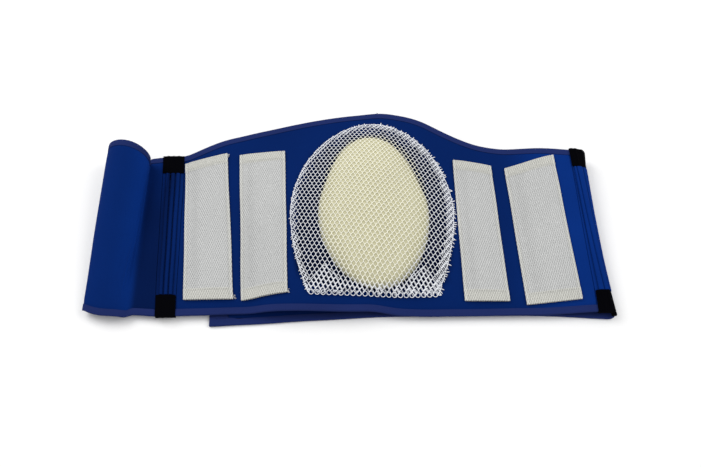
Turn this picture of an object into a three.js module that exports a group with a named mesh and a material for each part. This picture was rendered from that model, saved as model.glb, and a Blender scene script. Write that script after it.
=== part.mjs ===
// A hernia belt that lies folded on a flat surface, its body side up. One neoprene band is the front
// panel in the middle and a wing at each end: the left wing curls over in a loose roll, the right wing
// folds under the panel and runs back to the left. A net pocket holds a foam pad on the panel.
// Lengths are in millimetres and angles in degrees. X runs along the belt and Y across it, from the
// near edge to the far, arched one. Along the middle of the band, its length is counted as "u", and
// across it as "h"; "w" is the height above the middle of the sheet, towards the body side.
import * as THREE from 'three';

const clearance = 0.3;            // between pieces that touch

// The band
const sheetThickness = 3;         // neoprene with cloth on both faces
const beltHeight = 188;           // of the wings
const bindingWall = 0.5;          // tape folded over every edge
const bindingWidth = 7;
const bindingShoulder = 1.2;      // where the sheet is pressed thin beside the tape
const stayWidth = 22;             // of each stiffened zone beside the panel
const stayFlare = 2;              // it is this much wider at the far edge, and narrower at the near one
const ribWidth = 3.8;             // channel of one stay
const ribHeight = 1.7;
const ribPlaces = [0.26, 0.5, 0.74];   // across the zone, as shares of its width
const capWall = 0.8;              // elastic sewn over the ends of the stays
const capLength = 22;

// Pad, pocket and the woven casings beside them
const padWidth = 116;
const padHeight = 187;
const padThickness = 22;
const padEdge = 1;
const padWaist = 0.477;           // the pad's widest place, as a share of its height
const padTaper = 0.08;            // how far the shoulders of its narrow end draw in, as a share
const padTilt = 2.5;
const pocketSide = 28.5;          // from the pad to the pocket's seam
const pocketTop = 17;
const pocketFoot = 5;
const pocketBase = 20;            // from the near edge of the belt to the pocket
const pocketTaper = 22;           // half of what the pocket loses in width at its foot
const pocketShift = -1.5;         // of its middle, against the pad's
const archMargin = 17;            // above the pocket
const netThickness = 1;
const netSlack = 2;               // between the pad and the net over it
const meshWidth = 22;             // of one gap with its strands
const meshHeight = 20;
const strandWidth = 3;
const netBand = 4;                // least width of its closed border
const hemBow = 1.5;               // of the pocket's lower hem
const casingWidth = 48;           // white tape
const casingEdge = 1.4;           // thickness at its selvages and in its middle
const casingCrown = 2.2;
const panelMargin = { left: 5, right: 13.5 };       // from the outer casings to the stay zones
const casingSpace = { left: 11, right: 15.5 };      // between the two casings of a side
const pocketSpace = { left: 3, right: 3.6 };        // from the inner casings to the pocket

// How it lies
const layerGap = 1.4;             // between the wings on the surface and the panel over them
const rollWidth = 46;
const rollSkew = 2.5;             // its far end stands this much further in than its near one
const rollHeight = { near: 12.5, far: 48.5 };
const valleyRadius = { near: 14, far: 0.87 * sheetThickness };   // where the roll leaves the band
const valleyWidth = { near: 27, far: 11 };          // from the roll to the stay zone
const valleyInset = 1.8;          // how far both edges draw in there
const waveLift = 8;               // of the wave at the panel's near edge
const foldLift = { near: 3, far: 15 };              // of the panel where the right wing folds under
const foldReach = { near: 3.7, far: 14 };
const foldInset = { near: 0, far: 2 };
const foldWaist = 6;              // how far the fold's middle stands in
const foldPeep = 1;               // of the wing's near edge, out past the panel's, at the fold
const tailInset = 2;              // of the wing's near edge, once it is under the panel
const tailDraw = 60;              // over this length from the fold
const leftTail = { near: 76, far: 46 };             // left wing on the surface, from the roll's middle
const rightTail = 400;            // right wing on the surface
const tailBend = 3.4;
const tailBendPlace = 0.53;       // as a share of its length

// What follows from these sizes
const pocketHeight = pocketFoot + padHeight + pocketTop;
const pocketWidth = padWidth + 2 * pocketSide;
const archRise = pocketBase + pocketHeight + archMargin - beltHeight;

// The four casings, from left to right. Widths are shares of the tape's, places shares of the belt's
// height, and lean, head and foot are angles: how the casing and its two folded ends are turned.
const casings = [
  {
    name: 'casing_left_outer', width: 0.99, flare: -0.1, lean: 6.4,
    top: 0.479, head: 17, bottom: -0.412, foot: 1,
  },
  {
    name: 'casing_left_inner', width: 1.0, flare: 0.09, lean: 4.4,
    top: 0.513, head: 6, bottom: -0.402, foot: 8,
  },
  {
    name: 'casing_right_inner', width: 0.906, flare: -0.06, lean: 0.6,
    top: 0.444, head: -7, bottom: -0.421, foot: -1,
  },
  {
    name: 'casing_right_outer', width: 1.115, flare: -0.05, lean: 2.1,
    top: 0.441, head: 10.5, bottom: -0.429, foot: 6,
  },
];

const panelLength = panelMargin.left + panelMargin.right + casingSpace.left + casingSpace.right
  + pocketSpace.left + pocketSpace.right + pocketWidth
  + casingWidth * casings.reduce((sum, casing) => sum + casing.width, 0);
const beltLength = rollWidth + (valleyWidth.near + valleyWidth.far) / 2 + 2 * stayWidth + panelLength;
const leftEnd = -beltLength / 2;
const rightEnd = beltLength / 2;
const floorZ = sheetThickness / 2;                     // middle of the layer on the surface
const frontZ = floorZ + sheetThickness + layerGap;     // middle of the layer above it

// The arch of the far edge over the panel: shares of the panel's length and of the arch's rise
const arch = [
  { along: 0, rise: 0 },
  { along: 0.05, rise: 0.2 },
  { along: 0.1, rise: 0.38 },
  { along: 0.155, rise: 0.49 },
  { along: 0.235, rise: 0.66 },
  { along: 0.345, rise: 0.85 },
  { along: 0.455, rise: 0.98 },
  { along: 0.51, rise: 1 },
  { along: 0.565, rise: 0.94 },
  { along: 0.62, rise: 0.81 },
  { along: 0.67, rise: 0.58 },
  { along: 0.72, rise: 0.38 },
  { along: 0.775, rise: 0.24 },
  { along: 0.88, rise: 0.15 },
  { along: 0.93, rise: 0.09 },
  { along: 1, rise: 0 },
];

// How the panel's near edge lifts and draws in, as shares of the wave's and the fold's lift
const nearEdge = [
  { along: 0, wave: 0, fold: 0, inset: 0 },
  { along: 0.15, wave: 0.04, fold: 0, inset: 0.25 },
  { along: 0.187, wave: 0.22, fold: 0, inset: 0.3 },
  { along: 0.222, wave: 0.94, fold: 0, inset: 0.37 },
  { along: 0.29, wave: 1, fold: 0, inset: 0.37 },
  { along: 0.415, wave: 0.88, fold: 0, inset: 0.3 },
  { along: 0.47, wave: 0.6, fold: 0, inset: 0.4 },
  { along: 0.525, wave: 0.12, fold: 0, inset: 0.05 },
  { along: 0.6, wave: 0, fold: 0, inset: 0 },
  { along: 0.85, wave: 0, fold: 0.1, inset: 0.1 },
  { along: 1, wave: 0, fold: 1, inset: 0.5 },
];

// How the far side of the panel lifts, as shares of the fold's lift
const farEdge = [
  { along: 0, lift: 0 },
  { along: 0.14, lift: 0.1 },
  { along: 0.3, lift: 0.2 },
  { along: 0.6, lift: 0.28 },
  { along: 0.68, lift: 0.32 },
  { along: 0.72, lift: 0.28 },
  { along: 0.76, lift: 0.16 },
  { along: 0.8, lift: 0.04 },
  { along: 0.835, lift: 0 },
  { along: 0.885, lift: 0.33 },
  { along: 0.93, lift: 0.7 },
  { along: 1, lift: 1 },
];

// How far the edges of the roll draw in, at each angle round it, as shares of its width
const rollEdges = [
  { turn: -90, near: 0, far: 0.18 },
  { turn: 0, near: -0.04, far: 0.21 },
  { turn: 90, near: -0.03, far: 0.11 },
  { turn: 180, near: 0.13, far: 0.06 },
  { turn: 270, near: 0.08, far: 0.06 },
];
const nearInset = 8;              // what an inset of 1 means at the panel's near edge

const radians = THREE.MathUtils.degToRad;
const degrees = THREE.MathUtils.radToDeg;
const mix = THREE.MathUtils.lerp;

// A smooth curve through two columns of a table, which never passes above or below its rows
function curve(rows, across, up) {
  const x = rows.map((row) => row[across]);
  const y = rows.map((row) => row[up]);
  const steep = x.slice(1).map((end, i) => (y[i + 1] - y[i]) / (end - x[i]));
  const slope = x.map((_, i) => {
    const before = steep[Math.max(i - 1, 0)];
    const after = steep[Math.min(i, steep.length - 1)];
    return before * after <= 0 ? 0 : (2 * before * after) / (before + after);
  });
  return (at) => {
    const place = THREE.MathUtils.clamp(at, x[0], x.at(-1));
    const i = Math.min(x.findLastIndex((start) => start <= place), x.length - 2);
    const span = x[i + 1] - x[i];
    const t = (place - x[i]) / span;
    return y[i] * (1 + 2 * t) * (1 - t) ** 2 + span * slope[i] * t * (1 - t) ** 2
      + y[i + 1] * (3 - 2 * t) * t ** 2 - span * slope[i + 1] * t ** 2 * (1 - t);
  };
}

const archAt = curve(arch, 'along', 'rise');

// The place where a value that rises from one end to the other passes through nought
function crossing(low, high, value) {
  for (let step = 0; step < 40; step += 1) {
    const middle = (low + high) / 2;
    if (value(middle) < 0) low = middle;
    else high = middle;
  }
  return (low + high) / 2;
}

// The two edges of the band, as rows of points from the left wing's free end to the right wing's.
// A row of one edge and the same row of the other are the ends of a straight line across the band.
const steps = { leftTail: 3, roll: 16, valley: 6, panel: 38, turn: 7, under: 5, rightTail: 12 };

function edge(side) {
  const sign = side === 'near' ? -1 : 1;
  const points = [];
  const add = (x, inset, z) => points.push(new THREE.Vector3(x, sign * (beltHeight / 2 - inset), z));

  // The left wing on the surface, and the roll, which ends where it can pass into the valley's arc
  const inset = curve(rollEdges, 'turn', side);
  const reach = (rollWidth - sheetThickness) / 2;
  const rise = (rollHeight[side] - sheetThickness) / 2;
  const rollX = leftEnd + rollWidth / 2 + (side === 'far' ? rollSkew : 0);
  const rollZ = floorZ + rise;
  for (let i = 0; i < steps.leftTail; i += 1) {
    add(rollX + leftTail[side] * (1 - i / steps.leftTail), inset(270) * rollWidth, floorZ);
  }
  const radius = valleyRadius[side];
  const heading = (turn) => Math.atan2(-rise * Math.cos(turn), reach * Math.sin(turn));
  const drop = (turn) => radius * (1 - Math.cos(heading(turn)));
  const above = (turn) => rollZ + rise * Math.sin(turn) - frontZ - drop(turn);
  const last = crossing(-Math.PI / 2, Math.PI / 2, above);
  for (let i = 0; i <= steps.roll; i += 1) {
    const turn = mix(1.5 * Math.PI, last, i / steps.roll);
    add(rollX + reach * Math.cos(turn), inset(degrees(turn)) * rollWidth, rollZ + rise * Math.sin(turn));
  }
  const first = heading(last);
  const foot = points[points.length - 1];
  for (let i = 1; i <= steps.valley; i += 1) {
    const turn = first * (1 - i / steps.valley);
    add(
      foot.x + radius * (Math.sin(turn) - Math.sin(first)),
      mix(inset(degrees(last)) * rollWidth, valleyInset, i / steps.valley),
      foot.z + radius * (Math.cos(first) - Math.cos(turn)),
    );
  }

  // The stay zone and the panel, between its two seams
  const zone = stayWidth + sign * stayFlare;
  const leftSeam = leftEnd + rollWidth + valleyWidth[side] + zone;
  const rightSeam = rightEnd - zone + stayFlare;
  const wave = curve(nearEdge, 'along', 'wave');
  const fold = curve(nearEdge, 'along', 'fold');
  const farLift = curve(farEdge, 'along', 'lift');
  const lift = side === 'near'
    ? (along) => wave(along) * waveLift + fold(along) * foldLift.near
    : (along) => farLift(along) * foldLift.far;
  const drawnIn = curve(nearEdge, 'along', 'inset');
  add(leftSeam - zone, 0, frontZ);
  for (let i = 0; i <= steps.panel; i += 1) {
    const along = i / steps.panel;
    const drawn = side === 'near' ? drawnIn(along) * nearInset : 0;
    add(mix(leftSeam, rightSeam, along), drawn, frontZ + lift(along));
  }

  // The right fold, as half an ellipse, and the wing that runs back under the panel
  const half = (frontZ + foldLift[side] - floorZ) / 2;
  const foldX = rightEnd - sheetThickness / 2 - foldInset[side] - foldReach[side];
  const start = side === 'near' ? drawnIn(1) * nearInset : 0;
  const stop = side === 'near' ? -foldPeep : 0;
  for (let i = 0; i < steps.turn + steps.under; i += 1) {
    const turn = i < steps.turn
      ? mix(Math.PI / 2, 0, i / (steps.turn - 1))
      : mix(0, -Math.PI / 2, (i - steps.turn + 1) / steps.under);
    const drawn = mix(stop, start, (1 + Math.sin(turn)) / 2);
    add(foldX + foldReach[side] * Math.cos(turn), drawn, floorZ + half + half * Math.sin(turn));
  }
  const tailEnd = rightEnd - rightTail - (side === 'far' ? beltHeight * Math.sin(radians(tailBend)) : 0);
  const bendX = mix(rightEnd, rightEnd - rightTail, tailBendPlace);
  for (let i = 1; i <= steps.rightTail; i += 1) {
    const x = mix(foldX, tailEnd, i / steps.rightTail);
    const under = THREE.MathUtils.smoothstep(foldX - x, 0, tailDraw);
    const drawn = side === 'near' ? mix(stop, tailInset, under) : 0;
    add(x, drawn + sign * Math.tan(radians(tailBend)) * Math.max(0, bendX - x), floorZ);
  }
  return points;
}

const near = edge('near');
const far = edge('far');
const seams = { rollEnd: steps.leftTail + steps.roll + 1 };
seams.leftOuter = seams.rollEnd + steps.valley;
seams.leftInner = seams.leftOuter + 1;
seams.rightInner = seams.leftInner + steps.panel;
seams.rightOuter = seams.rightInner + steps.turn;
seams.floor = seams.rightOuter + steps.under;
const last = near.length - 1;

// How far the middle of each row stands in at the right fold
const waists = near.map((_, row) => {
  if (row <= seams.rightInner) return 0;
  if (row <= seams.rightOuter) return foldWaist * ((row - seams.rightInner) / steps.turn);
  return foldWaist * THREE.MathUtils.clamp(1 - (row - seams.floor) / 3, 0, 1);
});

// A point of the sheet's middle on one row, across it by a share of the band's height
function onRow(row, share) {
  const point = near[row].clone().lerp(far[row], share);
  point.x -= waists[row] * 4 * share * (1 - share);
  return point;
}

function rowNormal(row, share) {
  const along = onRow(Math.min(row + 1, last), share).sub(onRow(Math.max(row - 1, 0), share));
  const across = onRow(row, share + 0.01).sub(onRow(row, share - 0.01));
  return along.cross(across).normalize();
}

const lengths = [0];
for (let row = 1; row <= last; row += 1) {
  lengths.push(lengths[row - 1] + onRow(row, 0.5).distanceTo(onRow(row - 1, 0.5)));
}

// A point by its length along the belt, its height across it and its height above the sheet's middle
function at(u, h, w) {
  const row = THREE.MathUtils.clamp(lengths.findLastIndex((length) => length <= u), 0, last - 1);
  const part = (u - lengths[row]) / (lengths[row + 1] - lengths[row]);
  const share = h / beltHeight;
  const normal = rowNormal(row, share).lerp(rowNormal(row + 1, share), part);
  return onRow(row, share).lerp(onRow(row + 1, share), part).addScaledVector(normal, w);
}

// A point above the front layer by its place in plan
function above(x, y, w) {
  const place = (u) => {
    const low = at(u, 0, 0);
    const high = at(u, beltHeight, 0);
    const share = (y - low.y) / (high.y - low.y);
    return { share, x: mix(low.x, high.x, share) };
  };
  const u = crossing(lengths[seams.rollEnd], lengths[seams.rightOuter], (length) => place(length).x - x);
  return at(u, place(u).share * beltHeight, w);
}

// Height of the belt's far edge, and how much longer a line across it is cut by the edge's slope
const panelStart = lengths[seams.leftInner];
const panelEnd = lengths[seams.rightInner];
const topEdge = (u) => beltHeight + archRise * archAt((u - panelStart) / (panelEnd - panelStart));
const topSlant = (u) => {
  const step = clearance / 3;
  return Math.hypot(1, (topEdge(u + step) - topEdge(u - step)) / (2 * step));
};

// A closed solid from its points and triangles, turned outwards
function solid(points, triangles) {
  const position = new Float32Array(points.flatMap((point) => point.toArray()));
  let volume = 0;
  for (const [a, b, c] of triangles) {
    volume += points[a].dot(points[b].clone().cross(points[c]));
  }
  const index = triangles.flatMap(([a, b, c]) => (volume < 0 ? [a, c, b] : [a, b, c]));
  const geometry = new THREE.BufferGeometry();
  geometry.setAttribute('position', new THREE.BufferAttribute(position, 3));
  geometry.setIndex(index);
  geometry.computeVertexNormals();
  return geometry;
}

const quad = (a, b, c, d) => [[a, b, c], [a, c, d]];

// A slab over a grid of places: point(i, j, side) gives its lower (0) and upper (1) points
function slab(columns, rows, point) {
  const points = [];
  const number = (i, j, side) => (i * rows + j) * 2 + side;
  for (let i = 0; i < columns; i += 1) {
    for (let j = 0; j < rows; j += 1) points.push(point(i, j, 0), point(i, j, 1));
  }
  const triangles = [];
  const wall = (i, j, k, l) => {
    triangles.push(...quad(number(i, j, 0), number(k, l, 0), number(k, l, 1), number(i, j, 1)));
  };
  for (let i = 0; i + 1 < columns; i += 1) {
    for (let j = 0; j + 1 < rows; j += 1) {
      const ring = [[i, j], [i + 1, j], [i + 1, j + 1], [i, j + 1]];
      const corners = (side) => ring.map(([column, row]) => number(column, row, side));
      triangles.push(...quad(...corners(1)), ...quad(...corners(0).reverse()));
    }
    wall(i, 0, i + 1, 0);
    wall(i + 1, rows - 1, i, rows - 1);
  }
  for (let j = 0; j + 1 < rows; j += 1) {
    wall(0, j + 1, 0, j);
    wall(columns - 1, j, columns - 1, j + 1);
  }
  return solid(points, triangles);
}

// A bar of one section swept through places, with flat ends
function sweep(places, section, point) {
  const points = places.flatMap((place) => section.map((corner) => point(place, corner)));
  const size = section.length;
  const triangles = [];
  for (let i = 0; i + 1 < places.length; i += 1) {
    for (let j = 0; j < size; j += 1) {
      const next = (j + 1) % size;
      triangles.push(...quad(i * size + j, (i + 1) * size + j, (i + 1) * size + next, i * size + next));
    }
  }
  const flat = section.map(([across, up]) => new THREE.Vector2(across, up));
  const turn = (corners) => Math.sign(THREE.ShapeUtils.area(corners));
  const end = (places.length - 1) * size;
  for (const face of THREE.ShapeUtils.triangulateShape(flat, [])) {
    const [a, b, c] = turn(face.map((corner) => flat[corner])) === turn(flat) ? face : face.toReversed();
    triangles.push([a, b, c], [end + a, end + c, end + b]);
  }
  return solid(points, triangles);
}

// The lengths of the rows between two places, with the places themselves and any others in between
function columnsBetween(from, to, others = [], apart = bindingShoulder) {
  const own = [from, ...others, to];
  const rows = lengths.filter((length) => length > from && length < to)
    .filter((length) => own.every((other) => Math.abs(other - length) > apart));
  return [...own, ...rows].sort((a, b) => a - b);
}

// The sheet: pressed thin under the tape along its edges, and at a wing's free end
const pressed = sheetThickness / 2 - bindingWall - clearance;
const bodyLines = [capLength + clearance, beltHeight / 2, beltHeight - capLength - clearance];
const edgeDepths = [
  bindingWall + clearance,
  bindingWidth + clearance,
  bindingWidth + clearance + bindingShoulder,
];

function sheet(from, to, freeEnd = 0) {
  const ends = edgeDepths.map((depth) => (freeEnd < 0 ? from + depth : to - depth));
  const start = freeEnd < 0 ? ends[0] : from;
  const stop = freeEnd > 0 ? ends[0] : to;
  const columns = columnsBetween(start, stop, freeEnd ? ends.slice(1) : []);
  const thin = (u) => freeEnd !== 0 && Math.abs(u - (freeEnd < 0 ? from : to)) < edgeDepths[2] - 0.01;
  const rows = 9;
  return slab(columns.length, rows, (i, j, side) => {
    const u = columns[i];
    const slant = topSlant(u);
    const low = edgeDepths;
    const high = edgeDepths.map((depth) => topEdge(u) - depth * slant).reverse();
    const h = [...low, ...bodyLines, ...high][j];
    const half = thin(u) || j < 2 || j > rows - 3 ? pressed : sheetThickness / 2;
    return at(u, h, side ? half : -half);
  });
}

// Tape or elastic folded over an edge: its section, by depth in from the edge and height above the sheet
function folded(outer, depth, inside, outside) {
  const web = outer + outside - inside;
  return [
    [outer, outside], [depth, outside], [depth, inside], [web, inside],
    [web, -inside], [depth, -inside], [depth, -outside], [outer, -outside],
  ];
}

// An edge's place has the depth's direction in it: towards greater h (in) or greater u (along)
const nearPlace = (u) => ({ u, h: 0, along: 0, in: 1 });
const farPlace = (u) => ({ u, h: topEdge(u), along: 0, in: -topSlant(u) });
const atDepth = (place, [depth, w]) => at(place.u + place.along * depth, place.h + place.in * depth, w);

const tape = folded(0, bindingWidth, sheetThickness / 2 - bindingWall, sheetThickness / 2);

function wingBinding(end, seam) {
  const inwards = Math.sign(seam - end);
  const columns = columnsBetween(Math.min(end, seam), Math.max(end, seam))
    .filter((u) => u === seam || Math.abs(u - end) > 2 * bindingWidth);
  if (inwards > 0) columns.reverse();
  const corner = (h, way) => ({ u: end, h, along: inwards, in: way });
  return sweep([
    ...columns.map(nearPlace),
    corner(0, 1),
    corner(beltHeight, -1),
    ...columns.map(farPlace).reverse(),
  ], tape, atDepth);
}

const frontSeam = {
  left: lengths[seams.leftOuter],
  right: lengths[seams.rightOuter],
};
const half = clearance / 2;
const frontColumns = columnsBetween(frontSeam.left + half, frontSeam.right - half);

// Stays and their caps
const zones = {
  left: [lengths[seams.leftOuter] + half, lengths[seams.leftInner] - half],
  right: [lengths[seams.rightInner] + half, lengths[seams.rightOuter] - half],
};
const onSheet = sheetThickness / 2 + clearance;
const onFront = onSheet + 0.15;       // what crosses the rows of the sheet lies a little higher
const onNet = onFront + 0.2;
const capOuter = -(clearance + capWall);
const capSection = folded(capOuter, capLength, onSheet, onSheet + capWall);

function rib(zone, place) {
  const middle = mix(zone[0], zone[1], place);
  const slopes = [middle - ribWidth / 4, middle + ribWidth / 4];
  const columns = columnsBetween(middle - ribWidth / 2, middle + ribWidth / 2, slopes, clearance / 3);
  return slab(columns.length, bodyLines.length, (i, j, side) => {
    const low = i === 0 || i === columns.length - 1;
    return at(columns[i], bodyLines[j], onFront + side * ribHeight * (low ? 0.5 : 1));
  });
}

// The panel's middle line in plan, at half the wings' height
const panelX = at(panelStart, beltHeight / 2, 0).x;
const pocketX = panelX + panelMargin.left + casingSpace.left + pocketSpace.left
  + casingWidth * (casings[0].width + casings[1].width) + pocketWidth / 2;
const padX = pocketX - pocketShift;
const pocketY = -beltHeight / 2 + pocketBase + pocketFoot + padHeight * padWaist;

// Left edges of the casings at half height, from left to right
const casingStarts = [panelX + panelMargin.left];
casingStarts.push(casingStarts[0] + casings[0].width * casingWidth + casingSpace.left);
casingStarts.push(pocketX + pocketWidth / 2 + pocketSpace.right);
casingStarts.push(casingStarts[2] + casings[2].width * casingWidth + casingSpace.right);

function casing(row, start) {
  const across = 6;
  const along = 10;
  return slab(across + 1, along + 1, (i, j, side) => {
    const share = i / across;
    const length = j / along;
    const middle = mix(row.bottom, row.top, length) * beltHeight;
    const width = casingWidth * row.width * (1 + row.flare * (length - 0.5));
    const turn = Math.tan(radians(mix(row.foot, row.head, length)));
    const out = (share - 0.5) * width;
    const x = start + (casingWidth * row.width) / 2 + out - Math.tan(radians(row.lean)) * middle;
    const crown = 1 - (2 * share - 1) ** 4;
    return above(x, middle + out * turn, onFront + side * mix(casingEdge, casingCrown, crown));
  });
}

// The pad: an egg, its narrow end towards the arch
const padUp = padHeight * (1 - padWaist);
const padDown = padHeight * padWaist;
const padRadius = (angle) => {
  const narrow = Math.sin(angle) > 0;
  const tall = narrow ? padUp : padDown;
  const oval = 1 / Math.hypot(Math.cos(angle) / (padWidth / 2), Math.sin(angle) / tall);
  return narrow ? oval * (1 - padTaper * Math.sin(2 * angle) ** 2) : oval;
};
const padPoint = (share, angle, w) => {
  const turned = angle + radians(padTilt);
  const reach = padRadius(angle) * share;
  return above(padX + reach * Math.cos(turned), pocketY + reach * Math.sin(turned), w);
};

function pad() {
  const around = 28;
  const rings = [
    ...[0.5, 1].map((share) => ({ share, w: 0 })),
    ...[1, 0.97, 0.9, 0.76, 0.55, 0.28].map((share) => ({
      share,
      w: padEdge + (padThickness - padEdge) * Math.sqrt(1 - share ** 2),
    })),
  ];
  const points = [padPoint(0, 0, onFront), padPoint(0, 0, onFront + padThickness)];
  for (const ring of rings) {
    for (let i = 0; i < around; i += 1) {
      points.push(padPoint(ring.share, (i / around) * 2 * Math.PI, onFront + ring.w));
    }
  }
  const number = (ring, i) => 2 + ring * around + (i % around);
  const triangles = [];
  for (let i = 0; i < around; i += 1) {
    triangles.push([0, number(0, i + 1), number(0, i)]);
    for (let ring = 0; ring + 1 < rings.length; ring += 1) {
      const next = ring + 1;
      triangles.push(...quad(number(ring, i), number(ring, i + 1), number(next, i + 1), number(next, i)));
    }
    triangles.push([1, number(rings.length - 1, i), number(rings.length - 1, i + 1)]);
  }
  return solid(points, triangles);
}

// The pocket's outline in plan, from its middle: half its width at a height above or below it
const pocketUp = padUp + pocketTop;
const pocketDown = padDown + pocketFoot;
const roundness = 1.9;
const taperPower = 1.7;
function pocketHalf(y) {
  if (y >= pocketUp) return 0;
  if (y > 0) return (pocketWidth / 2) * (1 - (y / pocketUp) ** roundness) ** (1 / roundness);
  return pocketWidth / 2 - pocketTaper * (-y / pocketDown) ** taperPower;
}
const inPocket = (x, y, margin) => y - margin > -pocketDown
  && Math.abs(x) + margin < pocketHalf(y) && Math.abs(x) < pocketHalf(y + margin);

function pocketOutline(bow) {
  const points = [];
  const arc = 20;
  for (let i = 0; i <= arc; i += 1) {
    const turn = (i / arc) * Math.PI;
    const power = 2 / roundness;
    points.push([
      Math.sign(Math.cos(turn)) * (pocketWidth / 2) * Math.abs(Math.cos(turn)) ** power,
      pocketUp * Math.sin(turn) ** power,
    ]);
  }
  const side = 6;
  const left = [];
  for (let i = 1; i <= side; i += 1) {
    const y = -pocketDown * (i / side);
    left.push([-pocketHalf(y), y]);
  }
  const hem = 11;
  const bottom = [];
  for (let i = 1; i < hem; i += 1) {
    const share = (2 * i) / hem - 1;
    bottom.push([share * pocketHalf(-pocketDown), -pocketDown - bow * (1 - share ** 2)]);
  }
  return [...points, ...left, ...bottom, ...left.map(([x, y]) => [-x, y]).reverse()];
}

// Height of the net above the panel's face: over the pad, then straight down to the seam
function netHeight(x, y) {
  const fromPad = new THREE.Vector2(x + pocketShift, y);
  const reach = fromPad.length();
  if (reach < 1) return padThickness + netSlack;
  const angle = fromPad.angle() - radians(padTilt);
  const inner = padRadius(angle) + netSlack;
  const outwards = fromPad.clone().divideScalar(reach);
  const outer = crossing(0, 2 * padHeight, (far) => (
    inPocket(outwards.x * far - pocketShift, outwards.y * far, 0) ? -1 : 1
  ));
  const rise = padThickness + netSlack;
  if (reach < inner ** 2 / outer) return rise * Math.sqrt(1 - (reach / inner) ** 2);
  return rise * Math.max(0, outer - reach) / Math.sqrt(outer ** 2 - inner ** 2);
}

function netPocket() {
  const plan = [];
  const numbers = new Map();
  const number = (x, y) => {
    const key = `${x.toFixed(4)} ${y.toFixed(4)}`;
    if (!numbers.has(key)) {
      numbers.set(key, plan.length);
      plan.push([x, y]);
    }
    return numbers.get(key);
  };
  const faces = [];
  const walls = [];
  const open = new Map();
  const across = meshWidth / 2;
  const up = meshHeight / 2;
  const hole = 1 - strandWidth / 2 / ((across * up) / Math.hypot(across, up));
  const corners = [[1, 0], [0, 1], [-1, 0], [0, -1]];
  const columns = Math.ceil(pocketWidth / meshWidth) + 1;
  const rows = Math.ceil(pocketHeight / meshHeight) + 1;
  for (let j = -rows; j <= rows; j += 1) {
    for (let i = -columns; i <= columns; i += 1) {
      const corner = (size) => corners.map(([a, b]) => [(i + a * size) * across, (j + b * size) * up]);
      if ((i + j) % 2 === 0 && corner(1).every(([x, y]) => inPocket(x, y, netBand))) {
        const outer = corner(1).map(([x, y]) => number(x, y));
        const inner = corner(hole).map(([x, y]) => number(x, y));
        outer.forEach((from, k) => {
          const next = (k + 1) % corners.length;
          faces.push(...quad(from, outer[next], inner[next], inner[k]));
          walls.push([inner[next], inner[k]]);
          if (open.get(outer[next]) && open.get(outer[next]).has(from)) open.get(outer[next]).delete(from);
          else open.set(from, (open.get(from) || new Set()).add(outer[next]));
        });
      }
    }
  }

  // The closed border, between the outer edges of those gaps and the outline. It is divided with the
  // gaps' straight runs bowed a hair outwards and the hem inwards, so that no long triangle lies along
  // either of them.
  const first = [...open].find(([, ends]) => ends.size)[0];
  const loop = [first];
  for (let next = [...open.get(first)][0]; next !== first; next = [...open.get(next)][0]) loop.push(next);
  const outline = pocketOutline(hemBow).map(([x, y]) => number(x, y));
  const bowed = ([x, y]) => new THREE.Vector2(x, y).multiplyScalar(1 - 1e-6 * Math.hypot(x, y) ** 2);
  const contour = pocketOutline(-hemBow).map(bowed);
  const hollow = loop.map((point) => bowed(plan[point]));
  const ring = [...outline, ...loop];
  const places = [...contour, ...hollow];
  for (const face of THREE.ShapeUtils.triangulateShape(contour, [hollow])) {
    const turn = THREE.ShapeUtils.area(face.map((corner) => places[corner]));
    faces.push((turn > 0 ? face : face.toReversed()).map((corner) => ring[corner]));
  }
  outline.forEach((from, k) => walls.push([from, outline[(k + 1) % outline.length]]));

  const lower = plan.map(([x, y]) => above(pocketX + x, pocketY + y, onNet + netHeight(x, y)));
  const upper = plan.map(([x, y]) => above(pocketX + x, pocketY + y, onNet + netHeight(x, y) + netThickness));
  const count = plan.length;
  return solid([...lower, ...upper], [
    ...faces.map(([a, b, c]) => [a + count, b + count, c + count]),
    ...faces.map(([a, b, c]) => [a, c, b]),
    ...walls.flatMap(([a, b]) => quad(a, b, b + count, a + count)),
  ]);
}

// Finishes
const finish = (color, roughness) => new THREE.MeshStandardMaterial({ color, roughness, metalness: 0 });
const neoprene = finish('#0a2460', 0.85);
const bindingTape = finish('#23305f', 0.8);
const elastic = finish('#0a0b10', 0.9);
const webbing = finish('#bfbfb8', 0.85);
const foam = finish('#e0dcbc', 0.9);
const net = finish('#e6e8ee', 0.7);

const belt = new THREE.Group();
function piece(name, geometry, material) {
  const mesh = new THREE.Mesh(geometry, material);
  mesh.name = name;
  belt.add(mesh);
}

piece('front_panel', sheet(zones.left[1] + clearance, zones.right[0] - clearance), neoprene);
piece('stay_panel_left', sheet(...zones.left), neoprene);
piece('stay_panel_right', sheet(...zones.right), neoprene);
piece('wing_left', sheet(0, frontSeam.left - half, -1), neoprene);
piece('wing_right', sheet(frontSeam.right + half, lengths[last], 1), neoprene);
piece('binding_front_far', sweep(frontColumns.map(farPlace), tape, atDepth), bindingTape);
piece('binding_front_near', sweep(frontColumns.map(nearPlace), tape, atDepth), bindingTape);
piece('binding_wing_left', wingBinding(0, frontSeam.left - half), bindingTape);
piece('binding_wing_right', wingBinding(lengths[last], frontSeam.right + half), bindingTape);
for (const [side, zone] of Object.entries(zones)) {
  const columns = columnsBetween(...zone);
  piece(`stay_cap_${side}_far`, sweep(columns.map(farPlace), capSection, atDepth), elastic);
  piece(`stay_cap_${side}_near`, sweep(columns.map(nearPlace), capSection, atDepth), elastic);
  ribPlaces.forEach((place, i) => piece(`stay_${side}_${i + 1}`, rib(zone, place), neoprene));
}
casings.forEach((row, i) => piece(row.name, casing(row, casingStarts[i]), webbing));
piece('foam_pad', pad(), foam);
piece('net_pocket', netPocket(), net);

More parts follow.
